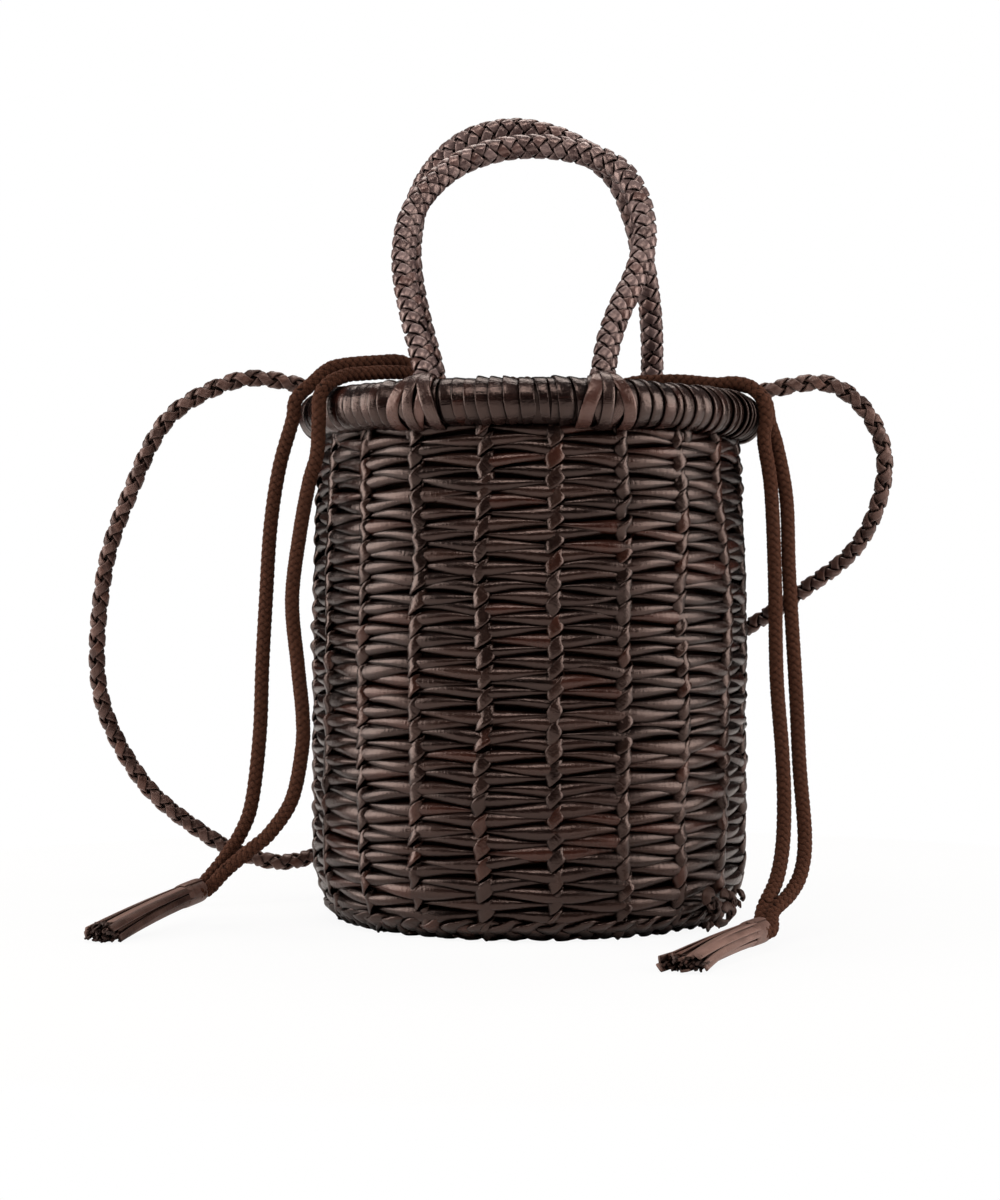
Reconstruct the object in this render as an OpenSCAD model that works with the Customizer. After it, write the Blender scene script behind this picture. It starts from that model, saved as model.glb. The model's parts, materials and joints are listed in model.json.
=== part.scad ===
// Woven leather bucket bag: twined leather wall, wrapped rim, two braided carrying handles,
// a braided shoulder strap, a drawstring pouch and two tasselled drawcord pairs.
// Millimetres. Origin at the centre of the base, on the floor; +Z up; front is -Y.

/* [Body] */
// Outer radius of the woven wall at its widest
wall_r = 95; // [90:0.5:97]
// Thickness of the woven wall
wall_t = 3.6; // [3:0.1:4]
// Height of the rim tube's centre above the floor
rim_z = 221.5; // [215:0.5:235]
// Number of leather courses stacked up the wall
courses = 48; // [30:2:60]
// Number of twined columns around the wall
columns = 20; // [12:2:28]
// Turn of the first twined column from the front centre, in degrees
column_turn = 10; // [0:1:18]
// Width of a twined column
twine_w = 4.2; // [3:0.1:5]
// Radius of the plaited border cord round the base
border_r = 3.4; // [2.8:0.1:3.4]

/* [Rim] */
// Radius of the rim circle, at the tube's centre
rim_r = 92.3; // [91:0.1:94]
// Radius of the wrapped rim tube
rim_tube_r = 10.3; // [9.5:0.1:11]
// Thickness of the leather wrapping
wrap_t = 1.7; // [1.2:0.1:2.2]
// Thickness of the lashings and anchors that grip the rim
lash_t = 1.6; // [1.2:0.1:2]

/* [Handles] */
// Radius of a braided handle
handle_r = 6; // [5:0.1:6.5]
// Radius of the cord inside a braided handle
handle_core_r = 3; // [2:0.1:3.5]
// Reach of the front handle from the rim's centre line
front_reach = 141; // [137:1:145]
// Reach of the rear handle from the rim's centre line
rear_reach = 148.3; // [144:0.1:152]
// Inward lean of the front handle, in degrees
front_lean = 31.5; // [29:0.5:33]
// Inward lean of the rear handle, in degrees
rear_lean = 27.7; // [25:0.5:29]

/* [Strap] */
// Radius of the braided shoulder strap
strap_r = 4; // [3.5:0.1:4.5]
// Radius of the cord inside the strap
strap_core_r = 1.9; // [1.5:0.1:2.2]

/* [Drawstring] */
// Radius of a drawcord
cord_r = 3; // [2.6:0.1:3.1]
// Radius of the half-drawn pouch neck, at the cord channel's centre
neck_r = 38; // [34:0.5:38.5]
// Height of the cord channel's centre
neck_z = 232; // [228:0.5:234]
// Radius of the lining pouch
liner_r = 85.8; // [84:0.1:86]

/* [Tassels] */
// Radius of the leather band round the cord ends
band_r = 5.6; // [5:0.1:5.8]
// Length of the band
band_l = 17; // [14:1:20]
// Length of the leather strips below the band
fringe_l = 53; // [46:1:56]
// Number of strips in a tassel
fringe_count = 8; // [6:1:8]

/* [Hidden] */

$fn = 96;
gap = 0.3;                                  // running gap between neighbouring pieces
leather = "#4a3935";
leather_light = "#6b5754";
cord_brown = "#46291e";
lining = "#3a2c28";

wall_bottom = 2 * border_r + 0.4;
wall_top = rim_z - rim_tube_r + 1;
course_h = (wall_top - wall_bottom) / courses;
course_dip = 0.9;                           // depth of the groove between two courses
corner_h = 22;                              // height over which the wall curves out of the base
corner_in = 6.5;                            // how far the wall's foot stands inside its full radius
top_in = 3;                                 // how far the wall draws in under the rim
base_r = wall_r - corner_in - 2 * border_r - 0.4;
twine_t = 1.7;
twine_turn = twine_w / wall_r * 180 / PI;
lash_turn = 2.7;                            // half the angle that a lashing covers on the rim

// Outer radius of the wall at height z: a quarter curve at the foot, then a shallow bulge
function wall_at(z) =
    let (foot = max(0, 1 - (z - wall_bottom) / corner_h), rise = (z - corner_h) / (wall_top - corner_h))
    wall_r - corner_in * foot * foot - 2 * pow(max(0, 0.45 - rise), 2) - top_in * pow(max(0, rise - 0.45), 2) / 0.3;

// The wall's outline moved in or out by inset, with its points closest together at the curved foot
function wall_line(inset, n) = [for (i = [0:n]) let (z = wall_bottom + (wall_top - wall_bottom) * pow(i / n, 1.8))
    [wall_at(z) + inset, z]];
function flip(points) = [for (i = [len(points) - 1:-1:0]) points[i]];
function course_line() = [for (i = [0:courses - 1]) for (s = [0, 0.5])
    let (z = wall_bottom + (i + s) * course_h) [wall_at(z) - (s == 0 ? course_dip : 0), z]];

// A smooth curve through the points, with n steps between each pair
function blend(a, b, c, d, t) = 0.5 * (2 * b + (c - a) * t + (2 * a - 5 * b + 4 * c - d) * t * t
    + (3 * b - a - 3 * c + d) * t * t * t);
function curve(p, n) = concat([for (i = [0:len(p) - 2]) for (k = [0:n - 1])
    blend(p[max(i - 1, 0)], p[i], p[i + 1], p[min(i + 2, len(p) - 1)], k / n)], [p[len(p) - 1]]);
function unit(v) = v / norm(v);
function headings(p) = [for (i = [0:len(p) - 1]) unit(p[min(i + 1, len(p) - 1)] - p[max(i - 1, 0)])];
// Side vectors carried along the curve without twisting
function sides(h, i, s) = i >= len(h) ? [] : let (u = unit(s - (s * h[i]) * h[i])) concat([u], sides(h, i + 1, u));
function ring(p, h, s, r, n) = [for (k = [0:n - 1]) p + r * (s * cos(360 * k / n) + cross(h, s) * sin(360 * k / n))];
// Triangles joining ring a to ring b, each of n points
function band_faces(a, b, n) = [for (k = [0:n - 1]) let (m = (k + 1) % n)
    each [[a + k, b + k, b + m], [a + k, b + m, a + m]]];

module rod_along(p, r, n) {
    h = headings(p);
    s = sides(h, 0, cross(h[0], [0.3, 0.2, 1]));
    points = [for (i = [0:len(p) - 1]) each ring(p[i], h[i], s[i], r, n)];
    last = (len(p) - 1) * n;
    polyhedron(points, concat([[for (k = [0:n - 1]) k]], [[for (k = [n - 1:-1:0]) last + k]],
        [for (i = [0:len(p) - 2]) each band_faces(i * n, (i + 1) * n, n)]));
}

module tube_along(p, r_out, r_in, n) {
    h = headings(p);
    s = sides(h, 0, cross(h[0], [0.3, 0.2, 1]));
    outer = [for (i = [0:len(p) - 1]) each ring(p[i], h[i], s[i], r_out, n)];
    inner = [for (i = [0:len(p) - 1]) each ring(p[i], h[i], s[i], r_in, n)];
    far = (len(p) - 1) * n;
    shift = len(outer);
    polyhedron(concat(outer, inner), concat(
        [for (i = [0:len(p) - 2]) each band_faces(i * n, (i + 1) * n, n)],
        [for (i = [0:len(p) - 2]) each band_faces(shift + (i + 1) * n, shift + i * n, n)],
        band_faces(shift, 0, n), band_faces(far, shift + far, n)));
}

// A C-shaped ring gripping the rim tube at a turn measured from +X, open below where the wall enters
module rim_grip(turn) rotate([0, 0, turn - lash_turn]) rotate_extrude(angle = 2 * lash_turn)
    translate([rim_r, rim_z]) difference() {
        circle(r = rim_tube_r + 0.2 + lash_t);
        circle(r = rim_tube_r + 0.2);
        translate([-rim_tube_r - lash_t - 1, -rim_tube_r - lash_t - 8])
            square([2 * (rim_tube_r + lash_t + 1), rim_tube_r + lash_t]);
    }

// ---- woven body ----
module base_weave() color(leather) {
    strip = 9;
    step = strip + 0.8;
    count = floor(base_r / step);
    cylinder(h = 1.6, r = base_r);
    // Interlaced strips that stand on the base plate
    intersection() {
        translate([0, 0, 1.5]) cylinder(h = 2, r = base_r - 1);
        union() for (i = [-count:count]) translate([i * step - strip / 2, -base_r, 1.5])
            cube([strip, 2 * base_r, 1.1]);
    }
}

module base_border() color(leather) rotate_extrude()
    translate([wall_r - corner_in - border_r, border_r + 0.1]) circle(r = border_r);

// Frayed lacing ends, knotted at the foot of the wall
module border_end_knot() color(leather) rotate([0, 0, -90 + 58]) translate([wall_r + 6, 0, 14]) {
    rotate([0, 90, 0]) rotate_extrude() translate([4.5, 0]) circle(r = 1.6, $fn = 24);
    for (side = [-1, 1]) translate([side * 0.4, side * 7.2, -4]) rotate([side * 20, 0, 0])
        translate([-0.6, -1.8, -8]) cube([1.2, 3.6, 9]);
}

module wall_weft() color(leather) rotate_extrude() polygon(concat(
    course_line(), [[wall_at(wall_top) - course_dip, wall_top]], flip(wall_line(-wall_t, 16))));

module twine_band(inner, outer) rotate_extrude(angle = twine_turn)
    polygon([for (p = concat(wall_line(outer, 16), flip(wall_line(inner, 16))))
        [p[0], min(p[1], wall_top - 2)]]);

module wall_twining() color(leather_light) for (i = [0:columns - 1])
    rotate([0, 0, -90 + column_turn + i * 360 / columns - twine_turn / 2]) {
        twine_band(0.4, 0.4 + twine_t);
        twine_band(-wall_t - 0.2 - twine_t, -wall_t - 0.2);
    }

// ---- rim ----
module rim_core() color(leather) rotate_extrude()
    translate([rim_r, rim_z]) circle(r = rim_tube_r - wrap_t - 0.1);

module rim_wrap() color(leather_light) rotate_extrude() difference() {
    translate([rim_r, rim_z]) circle(r = rim_tube_r);
    translate([rim_r, rim_z]) circle(r = rim_tube_r - wrap_t);
    // groove that takes the top edge of the wall
    translate([wall_at(wall_top) - wall_t - gap, rim_z - rim_tube_r - 1]) square([wall_t + 2 * gap, 2.4]);
}

// ---- handles: each path is a list of [x, height above the rim's centre line], in the handle's own plane ----
front_path = [
    [-38.4, 16.1], [-41.2, 28], [-45.6, 45], [-50.2, 66], [-51.8, 84], [-49.8, 102], [-42.6, 118], [-30.5, 131.2],
    [-14, 139], [2, 141], [17, 139], [31, 133.6], [42.2, 124.5], [49, 109.5], [51.7, 94], [51.2, 80], [47.6, 65],
    [41.8, 49], [37.6, 33], [35.4, 16.1]];
rear_path = [
    [-48, 16.8], [-50.5, 35], [-55, 58], [-57.8, 80], [-57.2, 98], [-52, 118.5], [-41.5, 134], [-27, 144.5],
    [-8, 148.3], [10, 144.8], [25, 137], [38, 125], [45.8, 106], [50, 84], [52.8, 62], [53.6, 40], [53, 16.8]];
function left_x(path) = path[0][0];
function right_x(path) = path[len(path) - 1][0];
// Where the handle's hinge line crosses the rim's centre circle; end is -1 at the front, 1 at the rear
function root_y(path, end) = end * sqrt(pow(rim_r, 2) - pow((right_x(path) - left_x(path)) / 2, 2));
// The path stretched to its reach, stood on the rim and leaning by lean degrees towards the bag's axis
function handle_line(path, reach, lean, end) = let (stretch = reach / max([for (p = path) p[1]]))
    [for (p = curve(path, 2)) [p[0], root_y(path, end) - end * stretch * p[1] * sin(lean),
        rim_z + stretch * p[1] * cos(lean)]];
front_line = handle_line(front_path, front_reach, front_lean, -1);
rear_line = handle_line(rear_path, rear_reach, rear_lean, 1);

module front_handle_braid() color(leather_light) tube_along(front_line, handle_r, handle_core_r + 0.2, 12);
module front_handle_core() color(leather) rod_along(front_line, handle_core_r, 10);
module rear_handle_braid() color(leather_light) tube_along(rear_line, handle_r, handle_core_r + 0.2, 12);
module rear_handle_core() color(leather) rod_along(rear_line, handle_core_r, 10);

module front_handle_lashings() color(leather_light) for (x = [left_x(front_path), right_x(front_path)])
    rim_grip(-90 + asin(x / rim_r));

module rear_handle_lashings() color(leather_light) for (x = [left_x(rear_path), right_x(rear_path)])
    rim_grip(90 - asin(x / rim_r));

// ---- shoulder strap: from the left anchor, down the left side, behind the bag, up to the right anchor ----
strap_line = [
    [-rim_r - 12.5, 0, rim_z + 16], [-132, -2, rim_z + 18.5], [-163, -2, rim_z + 2], [-181.5, 0, rim_z - 32],
    [-194.5, 4, 152], [-198.5, 12, 100], [-182, 22, 59], [-156, 33, 33.5], [-133, 43, 20.5], [-111, 56, 18.5],
    [-72, 92, 33], [-7, 106, 70], [52, 102, 102], [97, 79, 127], [123, 54, 145], [145, 34, 163],
    [155.5, 18, 184], [157.5, 8, 206], [148.5, 2, rim_z + 4], [131, 0, rim_z + 15.5], [rim_r + 12.5, 0, rim_z + 12]];
module shoulder_strap_braid() color(leather_light)
    tube_along(curve(strap_line, 3), strap_r, strap_core_r + 0.15, 10);
module shoulder_strap_core() color(leather) rod_along(curve(strap_line, 3), strap_core_r, 8);
module strap_anchor_left() color(leather_light) rim_grip(180);
module strap_anchor_right() color(leather_light) rim_grip(0);

// ---- lining pouch and its drawstring neck ----
module liner_base() color(lining) translate([0, 0, 4.2]) cylinder(h = 1.2, r = liner_r - 6.6);

module liner_pouch() color(lining) rotate_extrude() {
    translate([liner_r - 1.2, 22]) square([1.2, rim_z - rim_tube_r + 1 - 22]);
    polygon([[liner_r - 6.2, 4.2], [liner_r - 5, 4.2], [liner_r, 22.1], [liner_r - 1.2, 22.1]]);
}

collar_low = rim_z - rim_tube_r + 1.5;
collar_in = neck_r + 7.6;                   // the collar stops here, clear of the moving neck
module liner_collar() color(lining) rotate_extrude() polygon([
    [liner_r - 5.6, collar_low], [liner_r - 5.6, collar_low + 1.5],
    [collar_in, neck_z - 1], [collar_in, neck_z - 2.5]]);

hem_half = 2.6;                             // half the spacing of the two cords in the channel
loop_r = 2.4;
module channel(r) {
    for (side = [-1, 1]) translate([neck_r, neck_z + side * hem_half]) circle(r = r, $fn = 48);
    translate([neck_r - r, neck_z - hem_half]) square([2 * r, 2 * hem_half]);
}
module liner_neck_hem() color(lining) rotate_extrude() difference() {
    channel(loop_r + 2.1);
    channel(loop_r + 0.4);
}
module drawcord_loop(height) rotate_extrude() translate([neck_r, height]) circle(r = loop_r, $fn = 32);
module left_drawcord_loop() color(cord_brown) drawcord_loop(neck_z + hem_half);
module right_drawcord_loop() color(cord_brown) drawcord_loop(neck_z - hem_half);

// ---- drawcords: each side has two cords, side by side over the rim ----
left_turn = 203;                            // where the left pair crosses the rim, from +X
right_turn = -9;
crossing_r = 84.5;                          // distance of the crossing from the bag's axis
left_cross_z = 241.5;
right_cross_z = 235.3;
pair_half = 4.6;                            // half the spacing of the two cords at the crossing
spread_t = 18;                              // the left front cord lies this far towards the front
// A point at distance r from the axis, t sideways of the crossing's radius, at height z
function beside(turn, r, t, z) = [r * cos(turn) - t * sin(turn), r * sin(turn) + t * cos(turn), z];

left_pivot = [-142, -38.5, 14.5];
left_tassel_dir = unit([-28, -61, -9]);
right_pivot = [100, -102, 8.2];
right_tassel_dir = unit([-33, -64, -2.6]);
pivot_gap = 5.4;                            // room for the tassel to swing under the cord ends
// Where a cord ends: short of the tassel's pivot and to one side of it
function cord_end(pivot, dir, side) = pivot - (pivot_gap + 0.2) * dir + side * 2.6 * unit(cross(dir, [0, 0, 1]));

// A cord's run from the neck up to the crossing, where it lies t beside the crossing's radius
function run_beside(side, t, part) = side * 3.4 + (t - side * 3.4) * part;
module rim_run(turn, z, side, t) rod_along(curve([
    beside(turn, neck_r + 8.4, side * 3.4, z + 0.5), beside(turn, 58, run_beside(side, t, 0.33), z + 1.8),
    beside(turn, 70, run_beside(side, t, 0.67), z + 1.6), beside(turn, crossing_r - gap, t, z)], 3), cord_r, 8);
module left_drawcord_rim_run() color(cord_brown) {
    rim_run(left_turn, left_cross_z, 1, spread_t);
    rim_run(left_turn, left_cross_z, -1, -pair_half);
}
module right_drawcord_rim_run() color(cord_brown) for (side = [-1, 1])
    rim_run(right_turn, right_cross_z, side, side * pair_half);

// The hanging length of a cord: over the rim, then through the points given.
// Each point over the rim is a distance from the axis, a distance beside the radius and a height.
module cord_tail(turn, z, start_t, over, hang) rod_along(curve(concat(
    [beside(turn, crossing_r + gap, start_t, z)], [for (p = over) beside(turn, p[0], p[1], p[2])], hang), 3),
    cord_r, 8);

left_front_over = [[88, 19.2, left_cross_z - 0.5], [92, 20.7, left_cross_z - 2.2], [99, 23.5, rim_z + 12.5]];
left_front_hang = [[-84.9, -64, 227.5], [-85.2, -65.2, 218], [-86.5, -62, 203], [-90.5, -57.5, 191.5], [-95, -55, 169.5],
    [-98.5, -54, 141], [-96, -54, 112.5], [-94, -53.5, 91.5], [-94.5, -52.5, 76.5], [-99.5, -49, 55],
    [-110, -44, 40], [-119, -41, 32.5], [-130.5, -37.5, 23], cord_end(left_pivot, left_tassel_dir, -1)];
left_back_over = [[92, -pair_half, left_cross_z - 2.2], [99.5, -pair_half, rim_z + 12.5]];
left_back_hang = [[-99.6, -37.6, 228], [-101, -37.4, 219.5], [-107, -36, 199], [-111, -35.5, 173.5],
    [-113, -36, 141], [-114.5, -36.5, 112], [-115.5, -37, 83], [-119, -36, 54], [-124, -34, 40], [-133, -32, 26.5], cord_end(left_pivot, left_tassel_dir, 1)];
module left_drawcord_tails() color(cord_brown) {
    cord_tail(left_turn, left_cross_z, spread_t, left_front_over, left_front_hang);
    cord_tail(left_turn, left_cross_z, -pair_half, left_back_over, left_back_hang);
}

function right_over(t) = [[92, t, rim_z + 14.2], [99.5, t, rim_z + 12.4], [105, t, rim_z + 6.4]];
right_front_hang = [[104.3, -21, 219], [103.5, -20.5, 210.5], [106.5, -21.5, 189], [108, -25, 152],
    [108.5, -33, 108.5], [110.5, -43, 77], [111, -52, 56.5], [110, -63, 38.5], [107, -75, 25.5], [101.5, -88, 15.5],
    cord_end(right_pivot, right_tassel_dir, 1)];
right_back_hang = [[106.2, -11.5, 219], [109.5, -11, 208], [113.5, -13, 185], [114.5, -17, 152], [117, -27, 102],
    [118, -39, 70.5], [119.5, -56, 42], [117.5, -67, 28], [112.5, -77, 20], [105, -89, 14],
    cord_end(right_pivot, right_tassel_dir, -1)];
module right_drawcord_tails() color(cord_brown) {
    cord_tail(right_turn, right_cross_z, -pair_half, right_over(-pair_half), right_front_hang);
    cord_tail(right_turn, right_cross_z, pair_half, right_over(pair_half), right_back_hang);
}

// ---- tassels: built along +X from the pivot, then turned to lie along their direction ----
module along(pivot, dir) translate(pivot)
    rotate([0, acos(dir[2]) - 90, atan2(dir[1], dir[0])]) children();

module tassel_band() rotate([0, 90, 0]) difference() {
    cylinder(h = band_l, r = band_r, $fn = 48);
    translate([0, 0, -1]) cylinder(h = band_l + 2, r = band_r - 1, $fn = 48);
    // the lapped slit of the leather sleeve
    translate([-0.3, 0, -1]) cube([0.6, band_r + 1, band_l + 2]);
}
module tassel_core() translate([2, 0, 0]) rotate([0, 90, 0]) cylinder(h = band_l - 3, r = 2.4, $fn = 32);
module tassel_fringe() for (i = [0:fringe_count - 1]) rotate([360 * i / fringe_count, 0, 0])
    translate([4, -1, 2.75]) rotate([0, i % 2 == 0 ? -0.6 : -1.1, 0])
        cube([band_l - 4 + fringe_l - 2 * (i % 3), 2, 0.9]);

module left_tassel_band() color(leather_light) along(left_pivot, left_tassel_dir) tassel_band();
module left_tassel_fringe() color(leather) along(left_pivot, left_tassel_dir) tassel_fringe();
module left_tassel_core() color(cord_brown) along(left_pivot, left_tassel_dir) tassel_core();
module right_tassel_band() color(leather_light) along(right_pivot, right_tassel_dir) tassel_band();
module right_tassel_fringe() color(leather) along(right_pivot, right_tassel_dir) tassel_fringe();
module right_tassel_core() color(cord_brown) along(right_pivot, right_tassel_dir) tassel_core();

base_weave();
base_border();
border_end_knot();
wall_weft();
wall_twining();
rim_core();
rim_wrap();
front_handle_lashings();
rear_handle_lashings();
strap_anchor_left();
strap_anchor_right();
liner_base();
liner_pouch();
liner_collar();
left_drawcord_rim_run();
right_drawcord_rim_run();
liner_neck_hem();
left_drawcord_loop();
right_drawcord_loop();
front_handle_braid();
front_handle_core();
rear_handle_braid();
rear_handle_core();
shoulder_strap_braid();
shoulder_strap_core();
left_drawcord_tails();
right_drawcord_tails();
left_tassel_band();
left_tassel_fringe();
left_tassel_core();
right_tassel_band();
right_tassel_fringe();
right_tassel_core();
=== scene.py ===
"""Looks of the woven leather bucket bag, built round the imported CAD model.

Shapes are worked out in millimetres and written to the meshes in metres.
"""
import json
import math

import bpy
import numpy as np
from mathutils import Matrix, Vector


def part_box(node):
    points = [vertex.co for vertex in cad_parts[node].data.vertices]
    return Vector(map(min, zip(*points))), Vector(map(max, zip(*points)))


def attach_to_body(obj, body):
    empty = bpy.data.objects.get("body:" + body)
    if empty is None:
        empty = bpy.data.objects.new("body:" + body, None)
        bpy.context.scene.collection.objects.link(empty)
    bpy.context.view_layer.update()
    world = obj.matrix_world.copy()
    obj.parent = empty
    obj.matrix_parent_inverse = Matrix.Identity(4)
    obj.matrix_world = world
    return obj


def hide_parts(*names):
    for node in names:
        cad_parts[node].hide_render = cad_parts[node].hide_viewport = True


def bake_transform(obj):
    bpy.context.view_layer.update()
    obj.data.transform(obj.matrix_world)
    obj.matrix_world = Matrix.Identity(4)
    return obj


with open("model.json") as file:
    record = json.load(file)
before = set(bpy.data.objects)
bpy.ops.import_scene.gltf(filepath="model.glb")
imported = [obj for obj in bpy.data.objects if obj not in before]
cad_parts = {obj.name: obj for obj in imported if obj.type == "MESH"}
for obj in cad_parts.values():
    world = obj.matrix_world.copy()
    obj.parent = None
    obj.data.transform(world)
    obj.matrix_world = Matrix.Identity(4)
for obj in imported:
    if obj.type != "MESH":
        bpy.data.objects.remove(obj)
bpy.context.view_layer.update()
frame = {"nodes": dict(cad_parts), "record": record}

MM = 0.001
TAU = 2 * math.pi
rng = np.random.default_rng(7)


# -------- sizes from the frame
def node_box(node):
    """Lowest and highest corner of a CAD node, in millimetres."""
    low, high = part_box(node)
    return np.array(low) / MM, np.array(high) / MM


def joint_pivot(name):
    """A joint's pivot, in millimetres."""
    found = next(j for j in frame["record"]["behaviour"]["joints"] if j["name"] == name)
    return np.array(found.get("pos_m", [0, 0, 0])) / MM


WALL_LOW, WALL_HIGH = node_box("wall_weft")
RIM_LOW, RIM_HIGH = node_box("rim_wrap")
TUBE_R = (RIM_HIGH[2] - RIM_LOW[2]) / 2
RIM_R = RIM_HIGH[0] - TUBE_R
RIM_Z = (RIM_HIGH[2] + RIM_LOW[2]) / 2
WALL_R = WALL_HIGH[0]
# the courses run a little past the CAD wall's ends, behind its border and inside the rim's lacing
WALL_BOTTOM = WALL_LOW[2] - 2.5
WALL_TOP = WALL_HIGH[2] + 1.0
COURSES = 48
COLUMNS = 20
FIRST_COLUMN_TURN = math.radians(10)
COURSE_H = (WALL_TOP - WALL_BOTTOM) / COURSES
PAIR_H = 2 * COURSE_H
UP = np.array([0, 0, 1.0])


# -------- small maths helpers
def unit(v):
    """Rows of v at length one."""
    v = np.asarray(v, float)
    return v / np.maximum(np.linalg.norm(v, axis=-1, keepdims=True), 1e-9)


def smooth(t):
    """t held between 0 and 1 and eased at both ends."""
    t = np.clip(t, 0, 1)
    return t * t * (3 - 2 * t)


def spline(points, steps):
    """Catmull-Rom curve through the points."""
    p = np.asarray(points, float)
    p = np.vstack([2 * p[0] - p[1], p, 2 * p[-1] - p[-2]])
    rows = []
    for i in range(1, len(p) - 2):
        a, b, c, d = p[i - 1 : i + 3]
        for t in np.arange(steps) / steps:
            rows.append(0.5 * (2 * b + (c - a) * t + (2 * a - 5 * b + 4 * c - d) * t * t
                               + (3 * b - a - 3 * c + d) * t ** 3))
    return np.array(rows + [p[-2]])


def lengths_along(line):
    """Distance along the line to each of its points."""
    return np.concatenate([[0], np.cumsum(np.linalg.norm(np.diff(line, axis=0), axis=1))])


def even(line, step):
    """The same line with its points evenly spaced, about step apart."""
    lengths = lengths_along(line)
    count = max(4, int(round(lengths[-1] / step)))
    s = np.linspace(0, lengths[-1], count + 1)
    return np.column_stack([np.interp(s, lengths, line[:, k]) for k in range(3)])


def carried_frames(line, first):
    """Two unit vectors across the line at each point, carried along it without twisting."""
    tangent = unit(np.gradient(line, axis=0))
    a = np.empty_like(line)
    side = np.asarray(first, float)
    for i, t in enumerate(tangent):
        side = unit(side - t * side.dot(t))
        a[i] = side
    return a, np.cross(tangent, a)


def around(turn, radius, z):
    """Points at the given turns (radians from the front, towards +X)."""
    return np.column_stack([radius * np.sin(turn), -radius * np.cos(turn), z + 0 * turn])


def sideward(turn):
    """Directions along the bag's circles at the given turns."""
    return np.column_stack([np.cos(turn), np.sin(turn), 0 * turn])


def outward(turn):
    """Directions away from the bag's axis at the given turns."""
    return np.column_stack([np.sin(turn), -np.cos(turn), 0 * turn])


def wobble(count, size, waves):
    """A closed wavy series of the given size, made of sine waves; waves holds how often each goes round."""
    t = np.arange(count) / count * TAU
    total = sum(rng.normal() * np.sin(w * t + rng.uniform(0, TAU)) for w in waves)
    return size * total / math.sqrt(len(waves))


# -------- cross-sections
def section(count, square_u, square_v, crown=0.0):
    """A closed rounded section one wide and one thick. crown pushes the outer face out in the middle."""
    a = (np.arange(count) + 0.5) / count * TAU
    u = 0.5 * np.sign(np.cos(a)) * np.abs(np.cos(a)) ** square_u
    v = 0.5 * np.sign(np.sin(a)) * np.abs(np.sin(a)) ** square_v
    v = v + crown * np.where(v > 0, 1 - (2 * u) ** 2, 0)
    return np.column_stack([u, v])


STRIP = section(14, 0.7, 0.85, crown=0.8)
FLAT = section(12, 0.4, 0.45, crown=0.12)
FOLD = section(12, 0.5, 0.5, crown=0.4)
ROUND = section(8, 1.0, 1.0)


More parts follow.
